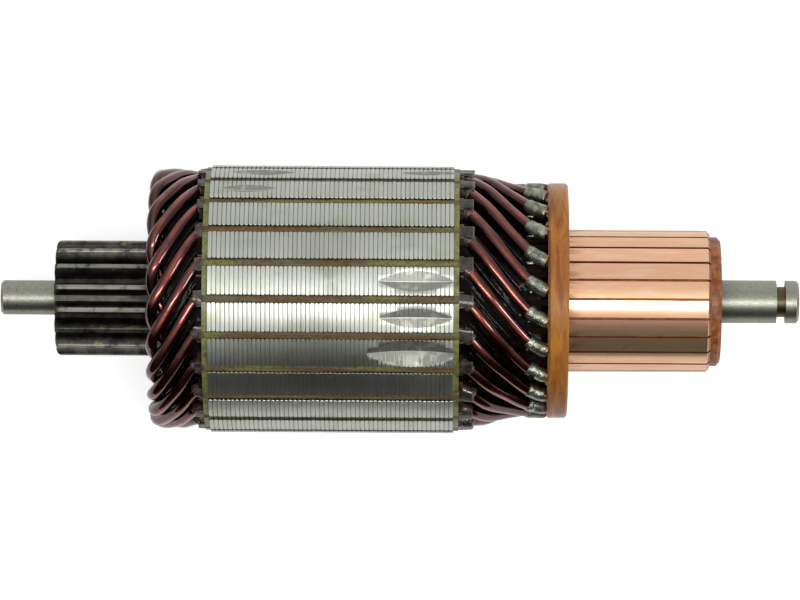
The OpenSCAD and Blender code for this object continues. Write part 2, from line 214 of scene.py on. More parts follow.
class Shader(Tree):
    """A principled material. Coordinates are the part's own, in millimetres."""

    def __init__(self, name, **sockets):
        self.material = bpy.data.materials.new(name)
        self.material.use_nodes = True
        super().__init__(self.material.node_tree)
        self.tree.nodes.clear()
        out = self.node("OutputMaterial")
        self.bsdf = self.node("BsdfPrincipled")
        self.tree.links.new(self.bsdf.outputs[0], out.inputs[0])
        for key, value in sockets.items():
            self.bsdf.inputs[key.replace("_", " ")].default_value = value
        coords = self.node("TexCoord")
        self.place = self.vector_maths("SCALE", coords.outputs["Object"], scale=1 / MM)
        self.normal = coords.outputs["Normal"]
        split = self.node("SeparateXYZ", Vector=self.place)
        self.x, self.y, self.z = split.outputs
        self.radius = self.maths("SQRT", self.maths("ADD", self.maths("MULTIPLY", self.y, self.y),
                                                    self.maths("MULTIPLY", self.z, self.z)))
        self.angle = self.maths("ARCTAN2", self.maths("MULTIPLY", self.y, -1.0), self.z)

    def sheet(self):
        """Place along the core, counted in sheets from its start."""
        return self.maths("DIVIDE", self.maths("SUBTRACT", self.x, CORE_START), SHEET_T)

    def tooth(self):
        """Place round the core, counted in teeth from the top one."""
        return self.maths("DIVIDE", self.angle, PITCH)

    def chance(self, dimensions, socket, value):
        """A random number from 0 to 1, the same wherever the value is the same."""
        made = self.node("TexWhiteNoise")
        made.noise_dimensions = dimensions
        self.give(made.inputs[socket], value)
        return made.outputs["Value"]

    def outward(self):
        """1 where the surface faces straight away from the shaft, 0 where it faces along it or round it."""
        across = self.node("CombineXYZ", X=0.0, Y=self.y, Z=self.z).outputs[0]
        made = self.tree.nodes.new("ShaderNodeVectorMath")
        made.operation = "DOT_PRODUCT"
        self.give(made.inputs[0], self.vector_maths("NORMALIZE", across))
        self.give(made.inputs[1], self.normal)
        return made.outputs["Value"]

    def unrolled(self, along=1.0, around=1.0, out=0.0):
        """The surface laid flat: X along the shaft, Y around it in millimetres at UNROLL_R."""
        return self.node("CombineXYZ", X=self.maths("MULTIPLY", self.x, along),
                         Y=self.maths("MULTIPLY", self.angle, UNROLL_R * around),
                         Z=self.maths("MULTIPLY", self.radius, out)).outputs[0]

    def noise(self, vector, scale, detail=3.0, rough=0.5, distortion=0.0):
        made = self.node("TexNoise", Vector=vector, Scale=scale, Detail=detail, Roughness=rough,
                         Distortion=distortion)
        return made.outputs["Fac"]

    def step(self, value, low, high):
        """0 below low and 1 above high, smooth between; low may be the greater."""
        made = self.tree.nodes.new("ShaderNodeMapRange")
        made.interpolation_type = "SMOOTHSTEP"
        self.give(made.inputs["Value"], value)
        flip = low > high
        made.inputs["From Min"].default_value = high if flip else low
        made.inputs["From Max"].default_value = low if flip else high
        made.inputs["To Min"].default_value = 1.0 if flip else 0.0
        made.inputs["To Max"].default_value = 0.0 if flip else 1.0
        return made.outputs["Result"]

    def blend(self, factor, a, b):
        """Between two numbers."""
        made = self.tree.nodes.new("ShaderNodeMix")
        self.give(made.inputs["Factor"], factor)
        self.give(made.inputs[2], a)
        self.give(made.inputs[3], b)
        return made.outputs[0]

    def bump(self, height, depth_mm, normal=None):
        made = self.node("Bump", Height=height, Strength=1.0, Distance=depth_mm * MM)
        if normal is not None:
            self.tree.links.new(normal, made.inputs["Normal"])
        return made.outputs[0]

    def set(self, **inputs):
        for key, value in inputs.items():
            self.give(self.bsdf.inputs[key.replace("_", " ")], rgba(value))
        return self.material


def lamination_steel():
    """Edges of the sheets, each a little lighter or darker, with dark joints between them."""
    s = Shader("lamination_edges", Metallic=0.97, Anisotropic=0.55)
    key = s.node("CombineXYZ", X=s.maths("FLOOR", s.sheet()), Y=s.maths("ROUND", s.tooth())).outputs[0]
    random = s.chance("2D", "Vector", key)
    streak = s.noise(s.unrolled(along=9.0, around=0.25), 1.0, detail=2.0)
    cloud = s.noise(s.unrolled(along=0.12, around=0.2), 1.0, detail=3.0)
    tone = s.maths("ADD", s.maths("MULTIPLY", random, 0.35), s.maths("MULTIPLY", streak, 0.65))
    clean = s.mix(tone, (0.50, 0.52, 0.465), (0.65, 0.67, 0.60))
    oiled = s.mix(s.step(cloud, 0.5, 0.72), clean, (0.50, 0.53, 0.42))
    joint = s.step(s.radius, CORE_R - 0.03, CORE_R - 0.17)
    speck = s.step(s.noise(s.unrolled(along=2.2, around=2.2), 1.0, detail=2.0), 0.70, 0.76)
    dark = s.maths("MAXIMUM", s.maths("MULTIPLY", joint, 0.48), s.maths("MULTIPLY", speck, 0.35))
    colour = s.mix(dark, oiled, (0.045, 0.045, 0.035))
    grain = s.noise(s.unrolled(along=16.0, around=0.5), 1.0, detail=2.0)
    return s.set(Base_Color=colour, Roughness=s.blend(streak, 0.30, 0.46), Normal=s.bump(grain, 0.012))


def notch_steel():
    """Milled faces: fine marks of the cutter round the shaft, and a painted highlight along the line where
    the two faces meet.
    """
    s = Shader("milled_notch", Metallic=0.74)
    streak = s.noise(s.unrolled(along=5.0, around=0.3), 1.0, detail=3.0)
    patch = s.noise(s.unrolled(along=0.35, around=0.5), 1.0, detail=2.0)
    off_joint = s.maths("ABSOLUTE", s.maths("SUBTRACT", s.maths("FRACT", s.sheet()), 0.5))
    joint = s.step(off_joint, 0.45, 0.5)
    colour = s.mix(streak, (0.24, 0.245, 0.21), (0.40, 0.405, 0.345))
    colour = s.mix(s.step(patch, 0.5, 0.65), colour, (0.48, 0.48, 0.40))
    colour = s.mix(s.maths("MULTIPLY", joint, 0.3), colour, (0.05, 0.05, 0.04))
    tooth = s.tooth()
    off_middle = s.maths("ABSOLUTE", s.maths("SUBTRACT", tooth, s.maths("ROUND", tooth)))
    # Painted highlight: a pale line along the meeting of the two faces.
    painted_valley_highlight = s.step(off_middle, 0.016, 0.006)
    colour = s.mix(s.maths("MULTIPLY", painted_valley_highlight, 0.8), colour, (0.85, 0.86, 0.76))
    return s.set(Base_Color=colour, Roughness=s.blend(streak, 0.38, 0.50), Normal=s.bump(streak, 0.02))


def olive_fibre():
    s = Shader("olive_fibre", Coat_Weight=0.35, Coat_Roughness=0.2)
    cloud = s.noise(s.place, 0.9, detail=5.0, rough=0.65)
    colour = s.mix(s.step(cloud, 0.35, 0.7), (0.13, 0.14, 0.04), (0.27, 0.28, 0.08))
    stain = s.step(s.noise(s.place, 0.35, detail=4.0), 0.55, 0.7)
    colour = s.mix(stain, colour, (0.10, 0.065, 0.025))
    return s.set(Base_Color=colour, Roughness=0.45, Normal=s.bump(cloud, 0.06))


def slot_colours(s):
    """Brown, grey and olive by turns along each slot."""
    stretch = s.noise(s.unrolled(along=0.05, around=0.6), 1.0, detail=3.0)
    colour = s.mix(s.step(stretch, 0.40, 0.50), (0.155, 0.090, 0.040), (0.150, 0.125, 0.075))
    return s.mix(s.step(stretch, 0.52, 0.60), colour, (0.21, 0.20, 0.060))


def slot_filling():
    """Varnished paper in the slot mouths."""
    s = Shader("slot_filling", Roughness=0.55, Specular_IOR_Level=0.2)
    grain = s.noise(s.place, 1.6, detail=4.0, rough=0.65)
    colour = slot_colours(s)
    colour = s.mix(s.maths("MULTIPLY", s.step(grain, 0.48, 0.66), 0.6), colour, (0.04, 0.032, 0.018))
    return s.set(Base_Color=colour, Normal=s.bump(grain, 0.10))


def enamel():
    """Red-brown enamel over copper, with a painted highlight along the outside of each wire and painted shade
    at its sides.
    """
    s = Shader("red_enamel", Metallic=1.0, Roughness=0.26, Coat_Weight=1.0, Coat_Roughness=0.04,
               Coat_IOR=1.62)
    cloud = s.noise(s.place, 0.28, detail=4.0)
    enamel_painted_shade = s.mix(s.step(cloud, 0.3, 0.7), (0.050, 0.008, 0.009), (0.105, 0.016, 0.015))
    enamel_painted_highlight = s.mix(s.step(cloud, 0.3, 0.7), (0.14, 0.018, 0.012), (0.33, 0.062, 0.030))
    ripple = s.noise(s.place, 0.9, detail=2.0)
    # Painted highlight on the outside of each wire, painted shade on its sides.
    colour = s.mix(s.step(s.outward(), 0.86, 1.0), enamel_painted_shade, enamel_painted_highlight)
    return s.set(Base_Color=colour, Normal=s.bump(ripple, 0.05))


# Black varnish: its near-black colour is partly the varnish and partly painted shade for the gaps between the
# wires.
def varnish():
    s = Shader("black_varnish_and_painted_shade", Roughness=0.12, IOR=1.18)
    cloud = s.noise(s.place, 0.5, detail=3.0)
    colour = s.mix(s.step(cloud, 0.45, 0.75), (0.002, 0.0018, 0.0018), (0.016, 0.004, 0.0035))
    lumps = s.noise(s.place, 0.35, detail=2.0, rough=0.5)
    return s.set(Base_Color=colour, Normal=s.bump(lumps, 0.18))


def wet_varnish():
    """The same varnish where it stands in drops and runs, with a harder shine."""
    s = Shader("wet_varnish", Roughness=0.06, IOR=1.62)
    cloud = s.noise(s.place, 1.2, detail=2.0)
    colour = s.mix(cloud, (0.003, 0.0025, 0.0025), (0.020, 0.006, 0.005))
    return s.set(Base_Color=colour, Normal=s.bump(cloud, 0.12))


def strip_paper():
    """Closing strips: the slots' colours inside the core, dark and wet where they stand out of it."""
    s = Shader("strip_paper", Roughness=0.45, Coat_Roughness=0.10)
    cloud = s.noise(s.place, 0.7, detail=5.0, rough=0.6)
    colour = slot_colours(s)
    colour = s.mix(s.maths("MULTIPLY", s.step(cloud, 0.50, 0.66), 0.55), colour, (0.05, 0.040, 0.025))
    comm_tab = s.step(s.x, COMM_FACE - 0.1, COMM_FACE + 0.3)
    drive_tab = s.step(s.x, DRIVE_FACE + 0.1, DRIVE_FACE - 0.3)
    comm_dark = s.mix(s.step(cloud, 0.40, 0.62), (0.022, 0.018, 0.013), (0.060, 0.050, 0.034))
    drive_dark = s.mix(s.step(cloud, 0.40, 0.60), (0.030, 0.018, 0.014), (0.110, 0.075, 0.055))
    colour = s.mix(comm_tab, colour, comm_dark)
    colour = s.mix(drive_tab, colour, drive_dark)
    edge = s.step(s.x, COMM_FACE + COMM_STRIP - 0.40, COMM_FACE + COMM_STRIP - 0.05)
    colour = s.mix(s.maths("MULTIPLY", edge, 0.5), colour, (0.24, 0.24, 0.15))
    tab = s.maths("MAXIMUM", comm_tab, drive_tab)
    lumps = s.noise(s.place, 1.3, detail=3.0, rough=0.6)
    return s.set(Base_Color=colour, Specular_IOR_Level=0.2, Coat_Weight=s.blend(tab, 0.0, 0.6),
                 Normal=s.bump(lumps, 0.22))


def bright_solder():
    s = Shader("bright_solder", Metallic=1.0, Roughness=0.26)
    cloud = s.noise(s.place, 1.0, detail=3.0)
    return s.set(Base_Color=s.mix(cloud, (0.16, 0.17, 0.13), (0.50, 0.51, 0.44)), Normal=s.bump(cloud, 0.2))


def fillet_resin():
    s = Shader("fillet_resin", Roughness=0.12, Coat_Weight=1.0, Coat_Roughness=0.03)
    cloud = s.noise(s.place, 0.8, detail=3.0)
    return s.set(Base_Color=s.mix(cloud, (0.10, 0.035, 0.012), (0.40, 0.20, 0.05)))


def cuff_paper():
    s = Shader("cuff_paper", Roughness=0.30, Coat_Weight=1.0, Coat_Roughness=0.04, Coat_IOR=1.6)
    cloud = s.noise(s.place, 0.55, detail=4.0, rough=0.6)
    colour = s.mix(s.step(cloud, 0.35, 0.65), (0.030, 0.014, 0.010), (0.115, 0.072, 0.050))
    wet = s.step(s.noise(s.place, 0.33, detail=2.0), 0.50, 0.64)
    colour = s.mix(wet, colour, (0.050, 0.009, 0.008))
    lumps = s.noise(s.place, 1.0, detail=3.0, rough=0.55)
    return s.set(Base_Color=colour, Normal=s.bump(lumps, 0.45))


def tinned_wire():
    s = Shader("tinned_wire", Metallic=0.9)
    cloud = s.noise(s.place, 0.5, detail=3.0, rough=0.5)
    fine = s.noise(s.place, 2.2, detail=3.0, rough=0.6)
    colour = s.mix(s.step(cloud, 0.35, 0.65), (0.17, 0.18, 0.13), (0.48, 0.50, 0.40))
    colour = s.mix(s.maths("MULTIPLY", s.step(fine, 0.55, 0.72), 0.6), colour, (0.06, 0.065, 0.045))
    amber = s.maths("MULTIPLY", s.step(s.x, RISER_FRONT - 1.3, RISER_FRONT - 0.3), s.step(fine, 0.3, 0.5))
    colour = s.mix(s.maths("MULTIPLY", amber, 0.8), colour, (0.30, 0.13, 0.04))
    return s.set(Base_Color=colour, Roughness=s.blend(fine, 0.14, 0.34), Normal=s.bump(fine, 0.16))


def ring_resin():
    """Amber resin with the glass or paper in it wound round the ring."""
    s = Shader("ring_resin", Coat_Weight=0.08, Coat_Roughness=0.2, Roughness=0.46, IOR=1.40,
               Sheen_Weight=0.45, Sheen_Roughness=0.3)
    flow = s.unrolled(along=0.30, around=0.045, out=0.30)
    cloud = s.noise(flow, 1.6, detail=5.0, rough=0.6, distortion=0.7)
    fibre = s.noise(s.unrolled(along=2.2, around=0.22, out=2.2), 1.0, detail=4.0, rough=0.65, distortion=0.3)
    colour = s.mix(s.step(cloud, 0.32, 0.68), (0.26, 0.068, 0.010), (0.50, 0.200, 0.028))
    colour = s.mix(s.maths("MULTIPLY", s.step(fibre, 0.55, 0.75), 0.5), colour, (0.52, 0.28, 0.08))
    colour = s.mix(s.maths("MULTIPLY", s.step(fibre, 0.42, 0.30), 0.5), colour, (0.13, 0.03, 0.008))
    return s.set(Base_Color=colour, Normal=s.bump(fibre, 0.05))


def commutator_copper():
    """Turned copper, each bar a little pinker or more golden than the next."""
    s = Shader("turned_copper", Metallic=0.86, IOR=1.3)
    turning = s.noise(s.unrolled(along=14.0, around=0.15), 1.0, detail=2.0)
    cloud = s.noise(s.unrolled(along=0.10, around=0.35), 1.0, detail=3.0, rough=0.5)
    bar = s.maths("ROUND", s.maths("DIVIDE", s.maths("SUBTRACT", s.angle, COMM_TURN), PITCH))
    colour = s.mix(s.chance("1D", "W", bar), (0.94, 0.53, 0.35), (0.97, 0.63, 0.34))
    colour = s.mix(s.maths("MULTIPLY", s.step(cloud, 0.45, 0.7), 0.5), colour, (0.99, 0.72, 0.50))
    tarnish = s.maths("MULTIPLY", s.step(s.x, RING_FRONT + 5.0, RING_FRONT), s.step(cloud, 0.45, 0.6))
    colour = s.mix(s.maths("MULTIPLY", tarnish, 0.6), colour, (0.45, 0.17, 0.07))
    below = s.step(s.radius, TRACK_R - 0.05, TRACK_R - 0.25)
    colour = s.mix(s.maths("MULTIPLY", below, 0.8), colour, (0.22, 0.075, 0.03))
    riser = s.step(s.x, RISER_FRONT + 0.1, RISER_FRONT - 0.1)
    colour = s.mix(riser, colour, (0.02, 0.012, 0.01))
    return s.set(Base_Color=colour, Roughness=s.blend(riser, s.blend(turning, 0.16, 0.30), 0.85),
                 Normal=s.bump(turning, 0.006))


def phenolic():
    s = Shader("phenolic", Roughness=0.42, Coat_Weight=0.05, Coat_Roughness=0.15, IOR=1.42)
    cloud = s.noise(s.place, 0.5, detail=5.0, rough=0.6)
    colour = s.mix(s.step(cloud, 0.35, 0.7), (0.20, 0.055, 0.016), (0.44, 0.150, 0.042))
    pit = s.step(s.noise(s.place, 1.4, detail=2.0), 0.68, 0.74)
    colour = s.mix(pit, colour, (0.04, 0.015, 0.008))
    return s.set(Base_Color=colour)


def shaft_steel():
    """Ground steel; the gear is oiled and grimy, lighter on the worn tops of its teeth."""
    s = Shader("shaft_steel", Metallic=0.98)
    grind = s.noise(s.unrolled(along=11.0, around=0.2), 1.0, detail=3.0)
    cloud = s.noise(s.place, 0.5, detail=4.0, rough=0.6)
    mottle = s.noise(s.unrolled(along=0.9, around=1.1), 1.0, detail=5.0, rough=0.7)
    clean = s.mix(grind, (0.30, 0.31, 0.25), (0.48, 0.49, 0.41))
    clean = s.mix(s.maths("MULTIPLY", s.step(mottle, 0.44, 0.62), 0.7), clean, (0.19, 0.185, 0.14))
    in_gear = s.maths("MULTIPLY", s.step(s.x, GEAR_FACE - 0.8, GEAR_FACE - 0.2), s.step(s.x, 0.0, -20.0))
    grime = s.noise(s.place, 0.35, detail=5.0, rough=0.65)
    land = s.maths("MULTIPLY", s.step(s.radius, GEAR_R - 0.30, GEAR_R - 0.06), s.step(grime, 0.30, 0.56))
    oiled = s.mix(s.step(grime, 0.3, 0.7), (0.027, 0.026, 0.025), (0.092, 0.087, 0.074))
    oiled = s.mix(land, oiled, (0.30, 0.295, 0.26))
    rub = s.maths("MULTIPLY", s.step(s.noise(s.place, 0.2, detail=5.0, rough=0.6), 0.56, 0.66), 0.7)
    rubbed_tip = s.maths("MULTIPLY", rub, s.step(s.radius, GEAR_R - 1.2, GEAR_R - 0.4))
    oiled = s.mix(rubbed_tip, oiled, (0.31, 0.25, 0.13))
    colour = s.mix(in_gear, clean, oiled)
    groove = s.maths("MULTIPLY", s.step(s.x, 0.0, 5.0), s.step(s.radius, 4.6, 4.0))
    colour = s.mix(groove, colour, (0.13, 0.095, 0.05))
    pit = s.maths("MULTIPLY", s.step(s.x, GEAR_FACE + 1.0, GEAR_FACE - 4.0),
                  s.step(s.noise(s.place, 1.5, detail=2.0), 0.66, 0.72))
    colour = s.mix(s.maths("MULTIPLY", pit, 0.6), colour, (0.05, 0.048, 0.04))
    roughness = s.blend(in_gear, s.blend(mottle, 0.28, 0.48), s.blend(grime, 0.28, 0.5))
    bumps = s.bump(mottle, 0.02, s.bump(grind, 0.008))
    return s.set(Base_Color=colour, Roughness=roughness, Normal=bumps)


STEEL_EDGES = lamination_steel()
MILLED = notch_steel()
FIBRE = olive_fibre()
FILLING = slot_filling()
ENAMEL = enamel()
VARNISH_AND_PAINTED_SHADE = varnish()
WET_VARNISH = wet_varnish()
STRIP = strip_paper()
CUFF = cuff_paper()
BRIGHT_SOLDER = bright_solder()
FILLET = fillet_resin()
TINNED = tinned_wire()
RESIN = ring_resin()
COPPER = commutator_copper()
PHENOLIC = phenolic()
STEEL = shaft_steel()


def dress(node, material):
    """A CAD node keeps its mesh and gets a better material."""
    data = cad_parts[node].data
    data.materials.clear()
    data.materials.append(material)


# ---------- core: a stack of sheet edges ----------

# One sheet across its thickness: place, radial set-back, set-back of the tooth's sides
SHEET_PROFILE = [
    (0.0, 0.13, 0.40), (0.08, 0.010, 0.19), (0.28, 0.0, 0.03), (0.72, 0.0, 0.03), (0.92, 0.010, 0.19),
]

# Disc cutter of the balance notches: its radius, half the angle of its V, half the width of its flat,
# and how deep its rim is modelled
CUTTER_R = 31.0
CUTTER_HALF_ANGLE = math.radians(64)
CUTTER_FLAT = 0.12
CUTTER_RIM = 3

# A notch lies within this turn and length of its middle
NOTCH_HALF_TURN = 0.12
NOTCH_HALF_LEN = 12


def tooth_outline(set_back, side_back):
    """Outline of a sheet from one slot's middle to the next: (radius, angle from the tooth's middle)."""
    tip = CORE_R - set_back
    edge = PITCH / 2 - (MOUTH_W / 2 + side_back) / CORE_R
    corner = 0.1
    wall = PITCH / 2 - (SLOT_W / 2 - 0.02) / CORE_R
    floor_wall = PITCH / 2 - (SLOT_W / 2 - 0.02) / SLOT_FLOOR_R
    fall = [(tip, edge - corner / CORE_R), (tip - corner, edge), (SLOT_TOP_R, edge), (SLOT_TOP_R, wall),
            (SLOT_FLOOR_R, floor_wall)]
    rise = [(r, -a) for r, a in reversed(fall)]
    return rise + [(tip, edge * f) for f in (-0.5, 0.0, 0.5)] + fall


def sheet_ring(x, set_back, side_back, shift=0.0, turn=0.0):
    return [polar(x, r + (shift if r > SLOT_TOP_R + 0.1 else 0), a + k * PITCH + turn)
            for k in range(COILS) for r, a in tooth_outline(set_back, side_back)]


def end_cap(outer, inner):
    """Triangles between two rings of points in one plane, counted through both lists."""
    return tessellate_polygon([[Vector((p[1], p[2], 0)) for p in ring] for ring in (outer, inner)])


def notch_cutter(tooth, along, depth):
    """Disc cutter with a V edge and a small flat, placed over a tooth; returns its object."""
    inner_r = CUTTER_R - CUTTER_RIM
    wide = CUTTER_FLAT + CUTTER_RIM * math.tan(CUTTER_HALF_ANGLE)
    profile = [(inner_r, -wide), (CUTTER_R, -CUTTER_FLAT), (CUTTER_R, CUTTER_FLAT), (inner_r, wide)]
    middle_x, middle_z = CORE_START + along, CORE_R - depth + CUTTER_R
    steps = 160
    reach = math.radians(30)
    rings = []
    for i in range(steps + 1):
        a = -reach + 2 * reach * i / steps
        rings.append([Vector((middle_x + r * math.sin(a), y, middle_z - r * math.cos(a)))
                      for r, y in profile])
    points, faces = skin(rings)
    data = bpy.data.meshes.new("cutter")
    data.from_pydata([tuple(p * MM) for p in points], [], faces)
    cutter = bpy.data.objects.new("cutter", data)
    cutter.rotation_euler = (tooth * PITCH, 0, 0)
    bpy.context.scene.collection.objects.link(cutter)
    return cutter


# Balance notches: tooth, middle along the core, depth
NOTCHES = [
    (0, 47.6, 1.2), (1, 47.6, 1.1), (2, 46.7, 1.75), (-3, 8.9, 0.7), (-4, 12.2, 0.85), (-4, 50.4, 0.7),
]


def core_stack():
    rings = []
    for sheet in range(SHEETS):
        turn, shift, tilt = rng.normal(0, 0.0008), rng.normal(0, 0.010), rng.normal(0, 0.006)
        for place, set_back, side_back in SHEET_PROFILE:
            x = CORE_START + (sheet + place) * SHEET_T
            move = (shift + tilt * (place - 0.5), turn) if place else (0.0, 0.0)
            rings.append(sheet_ring(x, set_back, side_back, *move))
    rings.append(sheet_ring(CORE_END, *SHEET_PROFILE[0][1:]))
    points, faces = skin(rings, caps=False)
    turns = np.linspace(0, 2 * math.pi, BORE_SIDES, endpoint=False)
    bore = [[polar(x, BORE_R, a) for a in turns] for x in (CORE_START, CORE_END)]
    n, total = len(rings[0]), len(points)
    bore_points, bore_faces = skin(bore, caps=False)
    points += bore_points
    faces += [tuple(i + total for i in f) for f in bore_faces]
    for outer_start, inner_start, outer, inner in ((0, total, rings[0], bore[0]),
                                                   (total - n, total + BORE_SIDES, rings[-1], bore[1])):
        for triangle in end_cap(outer, inner):
            faces.append(tuple(outer_start + i if i < n else inner_start + i - n for i in triangle))
    stack = mesh_object("core_stack", points, faces, STEEL_EDGES)
    stack.data.materials.append(MILLED)
    for tooth, along, depth in NOTCHES:
        cutter = notch_cutter(tooth, along, depth)
        cut = stack.modifiers.new("notch", "BOOLEAN")
        cut.operation = "DIFFERENCE"
        cut.solver = "MANIFOLD"
        cut.object = cutter
        evaluated = stack.evaluated_get(bpy.context.evaluated_depsgraph_get())
        fresh = bpy.data.meshes.new_from_object(evaluated)
        stack.modifiers.clear()
        stack.data = fresh
        bpy.data.objects.remove(cutter)
    return stack


def mark_notches(stack):
    """Gives the faces that the cutter left their own flat-shaded material."""
    for face in stack.data.polygons:
        x, y, z = face.center / MM
        turn = math.atan2(-y, z)
        for tooth, along, depth in NOTCHES:
            off = (turn - tooth * PITCH + math.pi) % (2 * math.pi) - math.pi
            if abs(off) > NOTCH_HALF_TURN or abs(x - CORE_START - along) > NOTCH_HALF_LEN:
                continue
            side = abs(math.hypot(y, z) * math.sin(off))
            up = math.hypot(y, z) * math.cos(off) - (CORE_R - depth + CUTTER_R)
            reach = math.hypot(x - CORE_START - along, up)
            wall = CUTTER_R - max(0.0, side - CUTTER_FLAT) / math.tan(CUTTER_HALF_ANGLE)
            if abs(reach - wall) < 0.02:
                face.material_index = 1
                face.use_smooth = False


stack = core_stack()
mark_notches(stack)
stack.data.set_sharp_from_angle(angle=math.radians(35))
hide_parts("core_laminations")


def slot_fillings():
    """Varnished paper that shows in the slot mouths, a little below the tooth tips."""
    parts = []
    steps = 90
    for k in range(COILS):
        middle = (k + 0.5) * PITCH
        rings = []
        for i in range(steps + 1):
            x = DRIVE_FACE + 0.1 + (COMM_FACE - DRIVE_FACE - 0.2) * i / steps
            top = CORE_R - 0.42 + rng.normal(0, 0.05)
            half = (MOUTH_W / 2 + 0.1) / CORE_R
            rings.append([polar(x, SLOT_TOP_R + 0.02, middle - half), polar(x, top - 0.12, middle - half),
                          polar(x, top, middle - half * 0.5), polar(x, top + rng.normal(0, 0.03), middle),
                          polar(x, top, middle + half * 0.5), polar(x, top - 0.12, middle + half),
                          polar(x, SLOT_TOP_R + 0.02, middle + half)])
        parts.append(skin(rings))
    piece = mesh_object("slot_fillings", *joined(parts), FILLING)


slot_fillings()


def strip_section(x, middle, half, top, crown=0.0):
    """Cross-section of a closing strip: flat below, slightly crowned above."""
    across = np.linspace(-1, 1, 7)
    upper = [(f * half, top + crown * (1 - f * f) - (0.10 if abs(f) == 1 else 0)) for f in across]
    lower = [(f * half * 0.98, top - STRIP_T + (0.08 if abs(f) == 1 else 0)) for f in across[::-1]]
    section = []
    for y, z in upper + lower:
        section.append(polar(x, math.hypot(y, z), middle + math.atan2(y, z)))
    return section


def closing_strips():
    """Strips under the tooth lips; their ends stand out of the core and are worn and uneven."""
    parts = []
    for k in range(COILS):
        middle = (k + 0.5) * PITCH
        drive_end = DRIVE_FACE - DRIVE_STRIP * (1 + rng.normal(0, 0.07))
        comm_end = COMM_FACE + COMM_STRIP * (1 + rng.normal(0, 0.04))
        skew = rng.normal(0, 0.012)
        rings = []
        for i in range(7):
            f = i / 6
            x = drive_end + (DRIVE_FACE - drive_end) * f
            rings.append(strip_section(x, middle - skew * (1 - f), 1.45 + 0.1 * f + rng.normal(0, 0.04),
                                       SLOT_TOP_R + rng.normal(0, 0.03), 0.06))
        rings.append(strip_section(CORE_START + 2, middle, 1.55, SLOT_TOP_R - 0.02))
        rings.append(strip_section(CORE_END - 2, middle, 1.55, SLOT_TOP_R - 0.02))
        for i in range(10):
            f = i / 9
            x = COMM_FACE + (comm_end - COMM_FACE) * f
            rings.append(strip_section(x, middle + skew * f, 1.52 - 0.1 * f + rng.normal(0, 0.03),
                                       SLOT_TOP_R + 0.05 - 0.1 * f * f + rng.normal(0, 0.02), 0.08))
        parts.append(skin(rings))
    piece = mesh_object("closing_strips", *joined(parts), STRIP)
    piece.data.set_sharp_from_angle(angle=math.radians(50))
    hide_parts("slot_wedges")


closing_strips()

# ---------- hairpin coils ----------

OVERHANG_R = 28.8
INNER_OVERHANG_R = OVERHANG_R - 3.6
MID_R = (OVERHANG_R + INNER_OVERHANG_R) / 2
DRIVE_BEND = DRIVE_FACE - 1.7
COMM_BEND = COMM_FACE + 1.6
RISER_BEND = RISER_BACK - 1.0
RISER_UPPER_R = TRACK_R + 9.15
RISER_LOWER_R = RISER_UPPER_R - 2 * WIRE_R - 0.05
COIL_SPAN = 5
UPPER_LEAD = 2 + COMM_TURN / PITCH
LOWER_LEAD = UPPER_LEAD + 1 - COIL_SPAN
WIRE_BEND = 1.5
TIP_BEND = 4.2
TIP_DROP = 4.0


def pitch_mm(radius):
    return radius * PITCH


TIP_SLOPE = math.atan(COIL_SPAN / 2 * pitch_mm(MID_R) / (DRIVE_BEND - DRIVE_TIP - WIRE_R))
TIP_CORNER = DRIVE_TIP + WIRE_R - TIP_BEND * math.cos(TIP_SLOPE) / 2


def sheet_distance(p, q):
    return math.hypot(q[0] - p[0], (q[1] - p[1]) * pitch_mm((p[2] + q[2]) / 2), q[2] - p[2])


def rounded(a, corner, b, reach, steps):
    """A corner of the path, rounded by a parabola; points are (x, turn in pitches, radius)."""
    a, corner, b = np.array(a), np.array(corner), np.array(b)
    p = corner + (a - corner) * reach / sheet_distance(corner, a)
    q = corner + (b - corner) * reach / sheet_distance(corner, b)
    return [(p * (1 - t) + corner * t) * (1 - t) + (corner * (1 - t) + q * t) * t
            for t in np.linspace(0, 1, steps + 1)]


def between(p, q, steps):
    return [np.array(p) + (np.array(q) - np.array(p)) * i / steps for i in range(1, steps)]


def smooth_step(t):
    t = min(1.0, max(0.0, t))
    return t * t * (3 - 2 * t)


def lead(turn, r_riser, radii, r_slot, bend_x, lean):
    """Commutator-end leg from the riser to the slot; lean turns its tail beyond the bend at bend_x."""
    a = (RISER_FRONT - 0.1, turn + lean, r_riser)
    b = (bend_x, turn, r_riser)
    c = (COMM_BEND, 0.0, r_slot)
    n = len(radii) + 1
    slope = [(bend_x + (COMM_BEND - bend_x) * i / n, turn * (1 - i / n), radii[i - 1]) for i in range(1, n)]
    near = rounded(a, b, slope[0], WIRE_BEND, 5)
    far = rounded(slope[-1], c, (CORE_END, 0.0, r_slot), WIRE_BEND, 6)
    knots = [near[-1], *slope, far[0]]
    middle = []
    for p, q in zip(knots, knots[1:]):
        middle += [np.array(p)] + between(p, q, 4)
    return [np.array(a)] + near[:-1] + middle + far


def hairpin():
    half = COIL_SPAN / 2
    b, c = (DRIVE_BEND, 0.0, UPPER_R), (DRIVE_BEND, float(COIL_SPAN), LOWER_R)
    tip = (TIP_CORNER, half, MID_R)
    loop = rounded((b[0], b[1], MID_R), tip, (c[0], c[1], MID_R), TIP_BEND, 14)
    near = (loop[0][0], loop[0][1], OVERHANG_R)
    far = (loop[-1][0], loop[-1][1], INNER_OVERHANG_R)
    first = rounded((CORE_START, 0.0, UPPER_R), b, near, WIRE_BEND, 6)
    last = rounded(far, c, (CORE_START, float(COIL_SPAN), LOWER_R), WIRE_BEND, 6)
    rise = [np.array((p[0], p[1], first[-1][2] + (OVERHANG_R - first[-1][2]) * smooth_step(i / 4)))
            for i, p in enumerate(between(first[-1], near, 10), 1)]
    round_tip = [np.array((p[0], p[1], OVERHANG_R + (INNER_OVERHANG_R - OVERHANG_R)
                 * smooth_step(0.5 + (p[1] - half) * pitch_mm(MID_R) / (2 * TIP_DROP)))) for p in loop]
    fall = [np.array((p[0], p[1], INNER_OVERHANG_R)) for p in between(far, last[0], 10)]
    return first + rise + round_tip + fall + last


